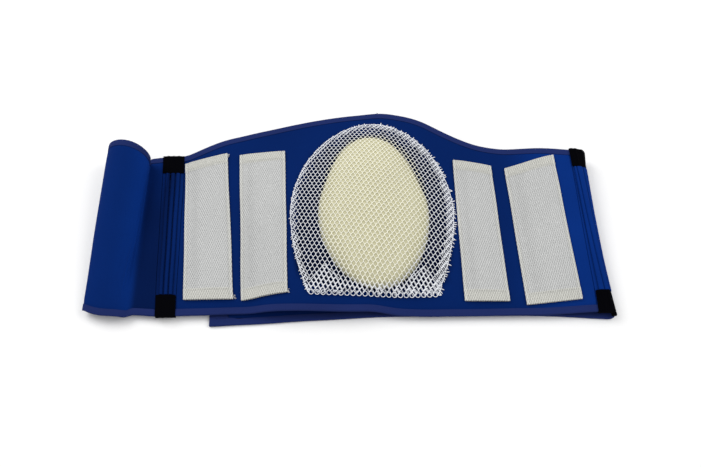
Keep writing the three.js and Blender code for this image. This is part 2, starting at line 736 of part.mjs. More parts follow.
// The origin is under the middle of the whole belt, on the surface
const box = new THREE.Box3().setFromObject(belt);
const middle = box.getCenter(new THREE.Vector3());
belt.position.set(-middle.x, -middle.y, -box.min.z);

export default belt;
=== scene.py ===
# A hernia belt of blue neoprene that lies folded on a pale floor, its body side up. The left wing
# curls over in a loose roll, the right wing folds under the panel and runs back to the left, and a
# net pocket on the panel holds a foam pad. Lengths are in metres, in the frame of the CAD model.
import math
import random

import bmesh
import bpy
from mathutils import Matrix, Vector, noise
from mathutils.bvhtree import BVHTree
from mathutils.geometry import convex_hull_2d, delaunay_2d_cdt


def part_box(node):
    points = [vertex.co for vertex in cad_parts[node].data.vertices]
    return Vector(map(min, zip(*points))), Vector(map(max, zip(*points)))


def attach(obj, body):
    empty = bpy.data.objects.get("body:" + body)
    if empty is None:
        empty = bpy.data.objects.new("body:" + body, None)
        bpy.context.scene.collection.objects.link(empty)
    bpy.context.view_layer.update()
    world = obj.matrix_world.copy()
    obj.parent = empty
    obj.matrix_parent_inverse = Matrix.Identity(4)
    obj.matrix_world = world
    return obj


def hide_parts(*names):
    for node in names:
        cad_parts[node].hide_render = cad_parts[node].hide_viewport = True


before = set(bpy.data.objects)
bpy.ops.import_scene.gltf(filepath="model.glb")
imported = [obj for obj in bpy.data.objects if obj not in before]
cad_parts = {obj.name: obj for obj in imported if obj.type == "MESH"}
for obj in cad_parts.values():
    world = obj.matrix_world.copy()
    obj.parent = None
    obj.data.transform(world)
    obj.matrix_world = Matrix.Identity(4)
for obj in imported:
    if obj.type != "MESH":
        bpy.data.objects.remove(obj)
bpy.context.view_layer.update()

mm = 0.001

# Camera, floor and light
# The camera looks down from the belt's near side, as the photograph does. The floor is plain and
# nearly white, and two broad soft lamps, with the room's own light, leave faint shadows on it.
camera_elevation = math.radians(62)
camera_distance = 700 * mm
camera_target = Vector((1.5, -22.7, 0)) * mm
image_width = 701
focal_length = 661.5
sensor_width = 36

back = Vector((0, -math.cos(camera_elevation), math.sin(camera_elevation)))
bpy.ops.object.camera_add(
    location=camera_target + back * camera_distance,
    rotation=(math.pi / 2 - camera_elevation, 0, 0),
)
camera = bpy.context.object
camera.name = "camera"
camera.data.sensor_width = sensor_width
camera.data.lens = sensor_width * focal_length / image_width
bpy.context.scene.camera = camera


def lamp(name, place, size, power):
    """A square soft lamp that faces the belt."""
    place = Vector(place)
    turn = place.to_track_quat("Z", "Y").to_euler()
    bpy.ops.object.light_add(type="AREA", location=place, rotation=turn)
    light = bpy.context.object
    light.name = name
    light.data.size = size
    light.data.energy = power


lamp("lamp_left", (-1.0, 0.65, 1.15), 1.1, 14)
lamp("lamp_right", (1.3, 0.1, 1.3), 1.2, 11)
world = bpy.data.worlds.new("room")
world.use_nodes = True
room_light = world.node_tree.nodes["Background"]
room_light.inputs["Color"].default_value = (1, 1, 1, 1)
room_light.inputs["Strength"].default_value = 0.62
bpy.context.scene.world = world
bpy.context.scene.view_settings.view_transform = "Standard"


def wire(tree, links):
    """Link sockets of a node tree, given as pairs of an output and an input."""
    for start, end in links:
        tree.links.new(start, end)


def paint(name, color, roughness, **sockets):
    """A material and its Principled shader, with the finish that is the same all over."""
    material = bpy.data.materials.new(name)
    material.use_nodes = True
    shader = material.node_tree.nodes["Principled BSDF"]
    shader.inputs["Base Color"].default_value = (*color, 1)
    shader.inputs["Roughness"].default_value = roughness
    for socket, value in sockets.items():
        shader.inputs[socket.replace("_", " ")].default_value = value
    return material, shader


floor_size = 6.0
floor_gap = 0.2 * mm
bpy.ops.mesh.primitive_plane_add(size=floor_size, location=(0, 0, 0))
floor = bpy.context.object
floor.name = "floor"
for vertex in floor.data.vertices:
    vertex.co.z = -floor_gap
floor_paint, floor_shader = paint("floor_white", (0.97, 0.97, 0.97), 0.95)
grain = floor_paint.node_tree.nodes.new("ShaderNodeTexNoise")
grain.inputs["Scale"].default_value = 900
bump = floor_paint.node_tree.nodes.new("ShaderNodeBump")
bump.inputs["Strength"].default_value = 0.03
bump.inputs["Distance"].default_value = 0.1 * mm
wire(floor_paint.node_tree, [
    (grain.outputs["Fac"], bump.inputs["Height"]),
    (bump.outputs["Normal"], floor_shader.inputs["Normal"]),
])
floor.data.materials.append(floor_paint)


# Cloth grain, an effect that the neoprene, the tapes and the caps share
# Every cloth here has a fine grain and a slow drift of tone. The group reads the place on the object
# and puts out the colour of the cloth there and the height of its grain.
def group(name, inputs, outputs):
    """A node group with named inputs, each with its default value, and named outputs."""
    tree = bpy.data.node_groups.new(name, "ShaderNodeTree")
    for socket, value in inputs.items():
        kind = "Float"
        if isinstance(value, tuple):
            kind = "Color" if len(value) == 4 else "Vector"
        made = tree.interface.new_socket(socket, in_out="INPUT", socket_type="NodeSocket" + kind)
        made.default_value = value
    for socket, kind in outputs.items():
        tree.interface.new_socket(socket, in_out="OUTPUT", socket_type="NodeSocket" + kind)
    start = tree.nodes.new("NodeGroupInput")
    end = tree.nodes.new("NodeGroupOutput")
    return tree, start, end


def node(tree, kind, **settings):
    """A new shader node: its settings by name, and the values of its inputs by number, as in_0."""
    made = tree.nodes.new("ShaderNode" + kind)
    for key, value in settings.items():
        if key.startswith("in_"):
            made.inputs[int(key[3:])].default_value = value
        else:
            setattr(made, key, value)
    return made


def sum_of(tree, operation, first, second):
    """A Math node between an output and another output or a number."""
    made = node(tree, "Math", operation=operation)
    tree.links.new(first, made.inputs[0])
    if isinstance(second, (int, float)):
        made.inputs[1].default_value = second
    else:
        tree.links.new(second, made.inputs[1])
    return made.outputs[0]


grain_group, start, end = group(
    "cloth_grain",
    {"Place": (0.0, 0.0, 0.0), "Color": (0.5, 0.5, 0.5, 1.0), "Grain": 1500.0, "Drift": 0.25},
    {"Color": "Color", "Height": "Float"},
)
fine = node(grain_group, "TexNoise", in_3=3.0)
slow = node(grain_group, "TexNoise", in_2=14.0, in_3=2.0)
wire(grain_group, [
    (start.outputs["Place"], fine.inputs["Vector"]),
    (start.outputs["Grain"], fine.inputs["Scale"]),
    (start.outputs["Place"], slow.inputs["Vector"]),
])
fleck = sum_of(grain_group, "MULTIPLY", sum_of(grain_group, "SUBTRACT", fine.outputs[0], 0.5), 0.7)
drift = sum_of(grain_group, "SUBTRACT", slow.outputs[0], 0.5)
drift = sum_of(grain_group, "MULTIPLY", drift, start.outputs["Drift"])
tone = sum_of(grain_group, "ADD", sum_of(grain_group, "ADD", fleck, drift), 1.0)
shade = node(grain_group, "VectorMath", operation="SCALE")
wire(grain_group, [
    (start.outputs["Color"], shade.inputs[0]),
    (tone, shade.inputs["Scale"]),
    (shade.outputs[0], end.inputs["Color"]),
    (fine.outputs[0], end.inputs["Height"]),
])


def cloth_paint(name, color, roughness, grain_scale, drift_share, depth, **sockets):
    """A cloth's material: the grain group in front of the shader, with bump of that depth."""
    material, shader = paint(name, color, roughness, **sockets)
    tree = material.node_tree
    place = node(tree, "TexCoord")
    effect = node(tree, "Group", node_tree=grain_group)
    effect.inputs["Color"].default_value = (*color, 1)
    effect.inputs["Grain"].default_value = grain_scale
    effect.inputs["Drift"].default_value = drift_share
    relief = node(tree, "Bump", in_0=0.6)
    relief.inputs["Distance"].default_value = depth
    wire(tree, [
        (place.outputs["Object"], effect.inputs["Place"]),
        (effect.outputs["Color"], shader.inputs["Base Color"]),
        (effect.outputs["Height"], relief.inputs["Height"]),
        (relief.outputs["Normal"], shader.inputs["Normal"]),
    ])
    return material


def toned(material):
    """Scale a cloth's colour by the first value of its UV map "tone", and return that map's values."""
    tree = material.node_tree
    shader = tree.nodes["Principled BSDF"]
    color = shader.inputs["Base Color"].links[0].from_socket
    tone = node(tree, "UVMap", uv_map="tone")
    split = node(tree, "SeparateXYZ")
    shade = node(tree, "VectorMath", operation="SCALE")
    wire(tree, [
        (tone.outputs["UV"], split.inputs[0]),
        (color, shade.inputs[0]),
        (split.outputs[0], shade.inputs["Scale"]),
        (shade.outputs[0], shader.inputs["Base Color"]),
    ])
    return split


def keep_tone(piece, tones):
    """Write a pair of values for each vertex of a piece to its UV map "tone"."""
    layer = piece.data.uv_layers.new(name="tone")
    for loop in piece.data.loops:
        layer.data[loop.index].uv = tones[loop.vertex_index]


def rise(distance, width):
    """From 0 to 1 as a distance passes nought, over a width."""
    share = min(max(distance / width + 0.5, 0), 1)
    return share * share * (3 - 2 * share)


# The band
# Neoprene, 3 mm thick, with blue knitted cloth bonded to both faces. The front panel, the two stay
# zones and the two wings are cut apart and sewn edge to edge, and tape covers every outer edge.
blue = (0.0012, 0.0175, 0.125)
slack_reach = 50 * mm
slack_lift = 0.6 * mm


def only(*pieces):
    """Select these pieces and nothing else, the first of them active."""
    bpy.ops.object.select_all(action="DESELECT")
    for piece in pieces:
        piece.select_set(True)
    bpy.context.view_layer.objects.active = pieces[0]


def cut_from(node_name, name):
    """A new piece in a CAD node's place: its mesh merged, with quads where two triangles make one."""
    piece = bpy.data.objects.new(name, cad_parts[node_name].data.copy())
    piece.data.materials.clear()
    bpy.context.collection.objects.link(piece)
    only(piece)
    bpy.ops.object.mode_set(mode="EDIT")
    bpy.ops.mesh.select_all(action="SELECT")
    bpy.ops.mesh.remove_doubles(threshold=0.01 * mm)
    bpy.ops.mesh.tris_convert_to_quads(
        face_threshold=math.radians(20), shape_threshold=math.radians(70)
    )
    bpy.ops.object.mode_set(mode="OBJECT")
    return piece


def apply_modifier(piece, kind, **settings):
    """Add a modifier with these settings, and apply it."""
    only(piece)
    modifier = piece.modifiers.new(kind.title(), kind)
    for key, value in settings.items():
        setattr(modifier, key, value)
    bpy.ops.object.modifier_apply(modifier=modifier.name)


def subdivide(piece, levels, kind="CATMULL_CLARK"):
    apply_modifier(piece, "SUBSURF", levels=levels, render_levels=levels, subdivision_type=kind)


def round_off(piece, width, levels, angle=50):
    """Round the sharp edges by a width, and smooth the rest."""
    limit = math.radians(angle)
    apply_modifier(piece, "BEVEL", width=width, segments=2, limit_method="ANGLE", angle_limit=limit)
    subdivide(piece, levels)


def slack(point):
    """How far the cloth at a place has moved, by slow waves that all the pieces share."""
    return noise.noise_vector(point / slack_reach) * slack_lift


def slacken(piece):
    """Move a piece with the cloth that it belongs to, never below the floor."""
    for vertex in piece.data.vertices:
        vertex.co += slack(vertex.co)
        vertex.co.z = max(vertex.co.z, 0)


def with_normals(piece):
    """A piece's vertices with their normals, which are read before any vertex moves."""
    return list(zip(piece.data.vertices, [vertex.normal.copy() for vertex in piece.data.vertices]))


def settle(piece, slot_name, material, *nodes):
    """Shade a finished piece, ride it on the belt and let it stand for its CAD nodes."""
    only(piece)
    bpy.ops.object.shade_smooth()
    piece.data.materials.clear()
    piece.data.materials.append(material)
    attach(piece, "root")
    if nodes:
        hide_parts(*nodes)


neoprene_paint = cloth_paint("neoprene_cloth", blue, 0.9, 2600.0, 0.35, 0.12 * mm, Specular_IOR_Level=0.04)
toned(neoprene_paint)

# Painted light on the blue cloth: painted sheen makes it lighter on the roll and beside the right fold, and a painted
# highlight makes it lighter still where the roll's flank faces right. Painted shade makes it darker in the valley
# beside the roll and under the net pocket.
valley_line = (Vector((-217.7, -102.3)) * mm, Vector((-220.3, 64.2)) * mm)
roll_overhang = 0.36
fold_side = 190 * mm
panel_tone = 0.84
valley_shade_tone = 0.48
roll_sheen_tone = 1.0
fold_sheen_tone = 1.4
pocket_shade_tone = 0.22
flank_highlight_gain = 0.8
pocket_box = [Vector(corner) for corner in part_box("net_pocket")]


def painted_light_at(point, normal):
    """The painted light on the blue cloth at a place that faces this way: painted sheen, highlight and shade, as a
    share of its colour.
    """
    along = valley_line[1] - valley_line[0]
    offset = point.xy - valley_line[0]
    beside = (offset.x * along.y - offset.y * along.x) / along.length - roll_overhang * point.z
    # Painted highlight on the roll's flank, and painted shade in the valley beside it, lighter towards the far end.
    if beside < 18 * mm and point.x < -150 * mm:
        flank_highlight = 1 + flank_highlight_gain * max(0, normal.x) ** 2
        valley_shade = valley_shade_tone * (1 + 1.1 * rise(point.y - 30 * mm, 80 * mm))
        return roll_sheen_tone * flank_highlight + (valley_shade - roll_sheen_tone * flank_highlight) * rise(beside, 7 * mm)
    # The painted shade of the valley fades out towards the stays, and painted sheen rises beside the right fold.
    stays = rise(beside - 26 * mm, 14 * mm)
    tone = valley_shade_tone + (panel_tone - valley_shade_tone) * stays
    tone += (fold_sheen_tone - panel_tone) * rise(point.x - fold_side, 60 * mm)
    # Painted shade under the net pocket: the cloth inside the pocket's outline is painted darker.
    half = (pocket_box[1] - pocket_box[0]) / 2
    middle = (pocket_box[1] + pocket_box[0]) / 2
    across = abs(point.x - middle.x) / half.x
    up = (point.y - middle.y) / half.y
    reach = math.hypot(across, up) if up > 0 else (across ** 4 + abs(up) ** 6) ** 0.25
    return tone * (1 + (pocket_shade_tone - 1) * rise(0.93 - reach, 0.1))


def paint_light_tones(piece):
    keep_tone(piece, [(painted_light_at(vertex.co, vertex.normal), 0) for vertex in piece.data.vertices])


band = {}
for node_name, name in {
    "front_panel": "panel_cloth",
    "stay_panel_left": "stay_cloth_left",
    "stay_panel_right": "stay_cloth_right",
    "wing_left": "wing_cloth_left",
    "wing_right": "wing_cloth_right",
}.items():
    piece = cut_from(node_name, name)
    round_off(piece, 0.4 * mm, 2)
    paint_light_tones(piece)
    slacken(piece)
    settle(piece, "neoprene", neoprene_paint, node_name)
    band[node_name] = piece


def trees_of(pieces):
    """Search trees of finished pieces, to find places on them."""
    graph = bpy.context.evaluated_depsgraph_get()
    return [BVHTree.FromObject(piece, graph) for piece in pieces]


def land(trees, x, y):
    """The highest place over a point of the floor, and the normal there, or None beside the pieces."""
    hits = [tree.ray_cast(Vector((x, y, 0.2)), Vector((0, 0, -1))) for tree in trees]
    hits = [hit for hit in hits if hit[0] is not None]
    if not hits:
        return None
    place, normal, _, _ = max(hits, key=lambda hit: hit[0].z)
    return place, normal if normal.z > 0 else -normal


front_trees = trees_of([band["front_panel"], band["stay_panel_left"], band["stay_panel_right"]])

# Threads, which every sewn piece has
# A seam is a row of short threads, each a little longer than it is wide and half sunk in the cloth.
# All the threads of one seam are one mesh.
bpy.ops.mesh.primitive_uv_sphere_add(segments=6, ring_count=4, radius=0.5, rotation=(0, math.pi / 2, 0))
bpy.ops.object.transform_apply(rotation=True)
thread_seed = bpy.context.object
thread_mesh = thread_seed.data.copy()
bpy.data.objects.remove(thread_seed)


def threads(name, places, size):
    """One mesh of threads of a length, width and height, at places with directions and normals."""
    points = []
    faces = []
    for place, along, normal in places:
        along = along.normalized()
        side = normal.cross(along).normalized()
        turned = Matrix((along * size[0], side * size[1], along.cross(side) * size[2])).transposed()
        first = len(points)
        points += [place + turned @ vertex.co for vertex in thread_mesh.vertices]
        faces += [[first + corner for corner in face.vertices] for face in thread_mesh.polygons]
    mesh = bpy.data.meshes.new(name)
    mesh.from_pydata(points, [], faces)
    piece = bpy.data.objects.new(name, mesh)
    bpy.context.collection.objects.link(piece)
    return piece


def row_between(start, end, pitch):
    """Points along a straight line in plan, evenly spaced."""
    count = max(2, round((end - start).length / pitch))
    return [start.lerp(end, (i + 0.5) / count) for i in range(count)]


def seam_places(trees, start, end, pitch, lift):
    """Places for a straight seam's threads, laid on the pieces under it."""
    found = []
    for point in row_between(start, end, pitch):
        spot = land(trees, point.x, point.y)
        if spot:
            place, normal = spot
            along = Vector((*(end - start), 0))
            along -= normal * along.dot(normal)
            found.append((place + normal * lift, along, normal))
    return found


navy = (0.001, 0.009, 0.062)
navy_thread = cloth_paint("navy_thread", navy, 0.8, 4000.0, 0.1, 0.05 * mm, Specular_IOR_Level=0.1)

# Stays
# Three thin stays in each stay zone stand in sewn channels of the same blue cloth, from one cap to
# the other, with a seam on each side of a channel.
channel_width = 3.8 * mm
channel_seam = 0.55 * mm


def middle_line(node_name):
    """The near end, middle and far end of a stay's channel, in plan."""
    points = sorted((vertex.co.copy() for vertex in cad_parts[node_name].data.vertices), key=lambda co: co.y)
    low = [co for co in points if co.y < points[0].y + 3 * mm]
    high = [co for co in points if co.y > points[-1].y - 3 * mm]
    ends = [sum(group, Vector()) / len(group) for group in (low, high)]
    return ends[0].xy, ends[1].xy


channel_lines = {"left": [], "right": []}
stay_seams = []
for side in ("left", "right"):
    for number in (1, 2, 3):
        node_name = f"stay_{side}_{number}"
        piece = cut_from(node_name, f"stay_channel_{side}_{number}")
        round_off(piece, 0.3 * mm, 2)
        paint_light_tones(piece)
        slacken(piece)
        settle(piece, "neoprene", neoprene_paint, node_name)
        line = middle_line(node_name)
        channel_lines[side].append(line)
        for way in (-1, 1):
            shift = Vector((way * (channel_width / 2 + channel_seam), 0))
            stay_seams += seam_places(front_trees, line[0] + shift, line[1] + shift, 2.6 * mm, 0)
stay_thread = threads("stay_seams", stay_seams, (2.0 * mm, 0.5 * mm, 0.4 * mm))
settle(stay_thread, "neoprene", navy_thread)

# Binding tapes
# A dull purple-blue tape is folded over every edge of the band and sewn through near its inner edge,
# so that it stands up a little on both faces.
tape_color = (0.0125, 0.0235, 0.112)
tape_wall = 0.5 * mm
tape_seam = 1.3 * mm
arch_end = 31 * mm
tape_paint = cloth_paint("tape_cloth", tape_color, 0.85, 2200.0, 0.35, 0.25 * mm, Specular_IOR_Level=0.06)


def broad_edges(shape):
    """The long outer edges of a folded tape: between its broad faces and its fold."""
    found = []
    for edge in shape.edges:
        if len(edge.link_faces) == 2 and edge.is_convex and edge.calc_face_angle() > 0.8:
            widths = [face.calc_area() / edge.calc_length() for face in edge.link_faces]
            if min(widths) > 1.6 * mm and all(len(face.verts) == 4 for face in edge.link_faces):
                found.append(edge)
    return found


def round_fold(piece, width):
    """Round the fold of a tape."""
    shape = bmesh.new()
    shape.from_mesh(piece.data)
    bmesh.ops.bevel(
        shape, geom=broad_edges(shape), offset=width, segments=3, profile=0.5, affect="EDGES"
    )
    shape.to_mesh(piece.data)
    shape.free()


def rim_places(shape, inset, pitch):
    """Places for a seam along a tape's inner edges, where a broad face meets the tape's thin rim."""
    found = []
    for edge in shape.edges:
        if len(edge.link_faces) != 2 or not edge.is_convex or edge.calc_face_angle() < 0.8:
            continue
        faces = sorted(edge.link_faces, key=lambda face: face.calc_area())
        length = edge.calc_length()
        if faces[0].calc_area() / length > 1.5 * tape_wall or faces[1].calc_area() / length < 4 * mm:
            continue
        start, end = (vertex.co for vertex in edge.verts)
        normal = faces[1].normal
        inwards = normal.cross(end - start).normalized()
        if inwards.dot(faces[1].calc_center_median() - start) < 0:
            inwards = -inwards
        for point in row_between(start, end, pitch):
            found.append((point + inwards * inset, end - start, normal))
    return found


tapes = {}
tape_seams = []
for node_name, name in {
    "binding_front_far": "tape_front_far",
    "binding_front_near": "tape_front_near",
    "binding_wing_left": "tape_wing_left",
    "binding_wing_right": "tape_wing_right",
}.items():
    piece = cut_from(node_name, name)
    shape = bmesh.new()
    shape.from_mesh(piece.data)
    seam = rim_places(shape, tape_seam, 3.2 * mm)
    shape.free()
    round_fold(piece, 1.1 * mm)
    round_off(piece, 0.12 * mm, 1)
    slacken(piece)
    settle(piece, "binding", tape_paint, node_name)
    tapes[node_name] = piece
    tree = trees_of([piece])[0]
    for place, along, normal in seam:
        near_place, near_normal, _, _ = tree.find_nearest(place + slack(place))
        if near_normal.dot(normal) > 0.5:
            tape_seams.append((near_place, along, near_normal))
# A thread end stands out at the top of the arch.
far_tape = tapes["binding_front_far"]
arch_top = max((vertex.co for vertex in far_tape.data.vertices), key=lambda co: co.y - abs(co.x - arch_end))
for turn in (-0.5, 0.1, 0.7):
    tape_seams.append((arch_top + Vector((0, 0.6 * mm, 0)), Vector((turn, 1, 0.4)), Vector((0, 0, 1))))
tape_thread = threads("tape_seams", tape_seams, (2.5 * mm, 0.55 * mm, 0.45 * mm))
settle(tape_thread, "binding", navy_thread)

# Stay caps
# Black elastic is folded over the band's edge at each end of a stay zone and sewn down over the ends
# of the stays, which show through it as low ridges.
cap_color = (0.0010, 0.0010, 0.0020)
cap_ridge = 0.9 * mm
cap_depth = 22 * mm
cap_paint = cloth_paint("cap_elastic", cap_color, 1.0, 1800.0, 0.4, 0.3 * mm, Specular_IOR_Level=0.03)
black_thread = cloth_paint("black_thread", (0.002, 0.002, 0.003), 1.0, 4000.0, 0.1, 0.05 * mm, Specular_IOR_Level=0.03)


def off_line(point, line):
    """How far a point lies beside a straight line in plan."""
    along = (line[1] - line[0]).normalized()
    offset = point.xy - line[0]
    return abs(offset.x * along.y - offset.y * along.x)


cap_seams = []
for side in ("left", "right"):
    for end_name in ("far", "near"):
        node_name = f"stay_cap_{side}_{end_name}"
        piece = cut_from(node_name, f"cap_{side}_{end_name}")
        round_fold(piece, 1.2 * mm)
        round_off(piece, 0.2 * mm, 1)
        subdivide(piece, 2, "SIMPLE")
        for vertex, normal in with_normals(piece):
            if normal.z > 0.3:
                for line in channel_lines[side]:
                    reach = off_line(vertex.co, line) / (channel_width / 2)
                    vertex.co.z += cap_ridge * math.exp(-reach ** 2)
        slacken(piece)
        settle(piece, "elastic", cap_paint, node_name)
        low, high = (Vector(corner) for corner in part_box(node_name))
        way = 1 if end_name == "far" else -1
        inner = (high.y if way > 0 else low.y) - way * (cap_depth - 1.5 * mm)
        start = Vector((low.x + 2 * mm, inner))
        end = Vector((high.x - 2 * mm, inner))
        cap_seams += seam_places(trees_of([piece]), start, end, 2.2 * mm, 0)
cap_thread = threads("cap_seams", cap_seams, (1.8 * mm, 0.5 * mm, 0.5 * mm))
settle(cap_thread, "elastic", black_thread)

# A short dense bar of black thread holds the stays just below each far cap.
bar_length = 6 * mm
bar_width = 1.6 * mm
bars = []
for side in ("left", "right"):
    low, high = (Vector(corner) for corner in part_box(f"stay_cap_{side}_far"))
    first, second = channel_lines[side][0][1], channel_lines[side][1][1]
    middle = first.lerp(second, 0.5)
    for i in range(14):
        y = middle.y - 2 * mm - bar_length * i / 13
        spot = land(front_trees, middle.x, y)
        bars.append((spot[0] + spot[1] * 0.2 * mm, Vector((1, 0.25 * (-1) ** i, 0)), spot[1]))
bar_tacks = threads("bar_tacks", bars, (bar_width, 0.6 * mm, 0.8 * mm))
settle(bar_tacks, "elastic", black_thread)

# Casings
# Four lengths of white woven tape are sewn flat on the panel. Their ends are folded under, so each
# end is thicker by one layer, and a seam runs round just inside the edges.
casing_color = (0.50, 0.505, 0.50)
hem_length = 12 * mm
hem_step = 0.8 * mm
hem_tint = (1.0, 0.988, 0.925)
seam_inset = 3.2 * mm
weave_across = 2.3 * mm
weave_along = 2.6 * mm

weave_group, start, end = group(
    "woven_tape",
    {"Place": (0.0, 0.0, 0.0), "Across": 0.0021, "Along": 0.0023},
    {"Height": "Float"},
)
split = node(weave_group, "SeparateXYZ")
wire(weave_group, [(start.outputs["Place"], split.inputs[0])])
across = sum_of(weave_group, "DIVIDE", split.outputs[0], start.outputs["Across"])
along = sum_of(weave_group, "DIVIDE", split.outputs[1], start.outputs["Along"])
along = sum_of(weave_group, "MULTIPLY", along, 0.5)
waves = []
for operation in ("ADD", "SUBTRACT"):
    phase = sum_of(weave_group, operation, across, along)
    phase = sum_of(weave_group, "MULTIPLY", phase, 2 * math.pi)
    wave = node(weave_group, "Math", operation="COSINE")
    wire(weave_group, [(phase, wave.inputs[0])])
    waves.append(wave.outputs[0])
twill = sum_of(weave_group, "ADD", sum_of(weave_group, "MULTIPLY", waves[0], 0.5), waves[1])
height = sum_of(weave_group, "MULTIPLY_ADD", twill, 0.33)
height.node.inputs[2].default_value = 0.5
wire(weave_group, [(height, end.inputs["Height"])])


def woven_paint(name, color, across_pitch, along_pitch, depth, pit_shade_share):
    """A woven tape's material: the weave follows the tape by its UV map, with painted shade in its pits."""
    material, shader = paint(name, color, 0.85, Specular_IOR_Level=0.1)
    tree = material.node_tree
    uv = node(tree, "UVMap", uv_map="tape")
    weave = node(tree, "Group", node_tree=weave_group)
    weave.inputs["Across"].default_value = across_pitch
    weave.inputs["Along"].default_value = along_pitch
    place = node(tree, "TexCoord")
    cloth = node(tree, "Group", node_tree=grain_group)
    cloth.inputs["Color"].default_value = (*color, 1)
    cloth.inputs["Grain"].default_value = 900.0
    cloth.inputs["Drift"].default_value = 0.12
    # Painted shade: the colour is painted darker in the weave's pits.
    pit_shade = sum_of(tree, "MULTIPLY_ADD", weave.outputs["Height"], pit_shade_share)
    pit_shade.node.inputs[2].default_value = 1 - pit_shade_share / 2
    shade = node(tree, "VectorMath", operation="SCALE")
    relief = node(tree, "Bump", in_0=0.8)
    relief.inputs["Distance"].default_value = depth
    wire(tree, [
        (uv.outputs["UV"], weave.inputs["Place"]),
        (place.outputs["Object"], cloth.inputs["Place"]),
        (cloth.outputs["Color"], shade.inputs[0]),
        (pit_shade, shade.inputs["Scale"]),
        (shade.outputs[0], shader.inputs["Base Color"]),
        (weave.outputs["Height"], relief.inputs["Height"]),
        (relief.outputs["Normal"], shader.inputs["Normal"]),
    ])
    return material


webbing_paint = woven_paint("casing_webbing", casing_color, weave_across, weave_along, 0.6 * mm, 0.6)
cream = toned(webbing_paint)
shader = webbing_paint.node_tree.nodes["Principled BSDF"]
plain = shader.inputs["Base Color"].links[0].from_socket
tint = node(webbing_paint.node_tree, "Mix", data_type="RGBA", blend_type="MULTIPLY", in_7=(*hem_tint, 1))
wire(webbing_paint.node_tree, [
    (cream.outputs[1], tint.inputs[0]),
    (plain, tint.inputs[6]),
    (tint.outputs[2], shader.inputs["Base Color"]),
])
white_thread = cloth_paint("white_thread", (0.6, 0.6, 0.58), 0.7, 4000.0, 0.1, 0.05 * mm, Specular_IOR_Level=0.1)


def corners_of(piece):
    """A four-sided piece's corners in plan: near left, near right, far right and far left."""
    points = [vertex.co.xy for vertex in piece.data.vertices]
    ways = [(-1, -1), (1, -1), (1, 1), (-1, 1)]
    return [max(points, key=lambda point: point.x * a + point.y * b).copy() for a, b in ways]


def share_in(corners, point):
    """Where a point lies in four corners, as shares across and along, each from 0 to 1."""
    s = t = 0.5
    for _ in range(6):
        low = corners[0].lerp(corners[1], s)
        high = corners[3].lerp(corners[2], s)
        ds = (corners[1] - corners[0]).lerp(corners[2] - corners[3], t)
        dt = high - low
        miss = point - low.lerp(high, t)
        scale = ds.x * dt.y - ds.y * dt.x
        s += (miss.x * dt.y - miss.y * dt.x) / scale
        t += (ds.x * miss.y - ds.y * miss.x) / scale
    return s, t


def point_in(corners, s, t):
    return corners[0].lerp(corners[1], s).lerp(corners[3].lerp(corners[2], s), t)


# How the stay inside bulges each casing: the middle of the bulge and its half width, as shares of
# the casing's width, and its height.
bulges = {
    "casing_left_outer": (0.62, 0.30, 0.7 * mm),
    "casing_left_inner": (0.60, 0.28, 0.6 * mm),
    "casing_right_inner": (0.45, 0.30, 0.6 * mm),
    "casing_right_outer": (0.62, 0.28, 0.8 * mm),
}
casing_seams = []
casings = []
frays = []
for node_name, (bulge_place, bulge_half, bulge_height) in bulges.items():
    piece = cut_from(node_name, node_name.replace("casing", "webbing"))
    corners = corners_of(piece)
    width = ((corners[1] - corners[0]).length + (corners[2] - corners[3]).length) / 2
    length = ((corners[3] - corners[0]).length + (corners[2] - corners[1]).length) / 2
    round_off(piece, 0.4 * mm, 2)
    subdivide(piece, 2, "SIMPLE")
    shares = [share_in(corners, vertex.co.xy) for vertex in piece.data.vertices]
    tones = []
    for (vertex, normal), (s, t) in zip(with_normals(piece), shares):
        from_side = min(s, 1 - s) * width
        from_end = min(t, 1 - t) * length
        lift = hem_step * rise(hem_length - from_end, 1.6 * mm)
        bulge = math.exp(-((s - bulge_place) / bulge_half) ** 4) * rise(from_end - hem_length, 12 * mm)
        groove = math.exp(-((from_side - seam_inset) / (0.7 * mm)) ** 2)
        if from_side > seam_inset:
            groove = max(groove, math.exp(-((from_end - hem_length + 2 * mm) / (0.7 * mm)) ** 2))
        hem = rise(hem_length - from_end, 1.6 * mm)
        selvage = rise(seam_inset - from_side, 2 * mm)
        shadow = math.exp(-((s - 0.22) / 0.1) ** 2) * (1 - hem)
        # Painted shade: the tape is painted darker along its seam grooves, and a painted shadow band runs along it
        # near its left side.
        tone = 1 + 0.08 * selvage + 0.05 * hem - 0.16 * groove - 0.07 * shadow
        tones.append((tone, max(hem, 0.6 * selvage)))
        if normal.z > 0.3:
            vertex.co.z += lift + bulge_height * bulge - 0.35 * mm * groove
    keep_tone(piece, tones)
    layer = piece.data.uv_layers.new(name="tape")
    for loop in piece.data.loops:
        s, t = shares[loop.vertex_index]
        layer.data[loop.index].uv = (s * width, t * length)
    slacken(piece)
    settle(piece, "webbing", webbing_paint, node_name)
    casings.append(piece)
    trees = trees_of([piece])
    side = seam_inset / width
    end_side = (hem_length - 2 * mm) / length
    lines = [((side, 0.01), (side, 0.99)), ((1 - side, 0.01), (1 - side, 0.99))]
    lines += [((side, end_side), (1 - side, end_side)), ((side, 1 - end_side), (1 - side, 1 - end_side))]
    for start, end in lines:
        casing_seams += seam_places(trees, point_in(corners, *start), point_in(corners, *end), 3.0 * mm, 0)
    frays.append(corners)
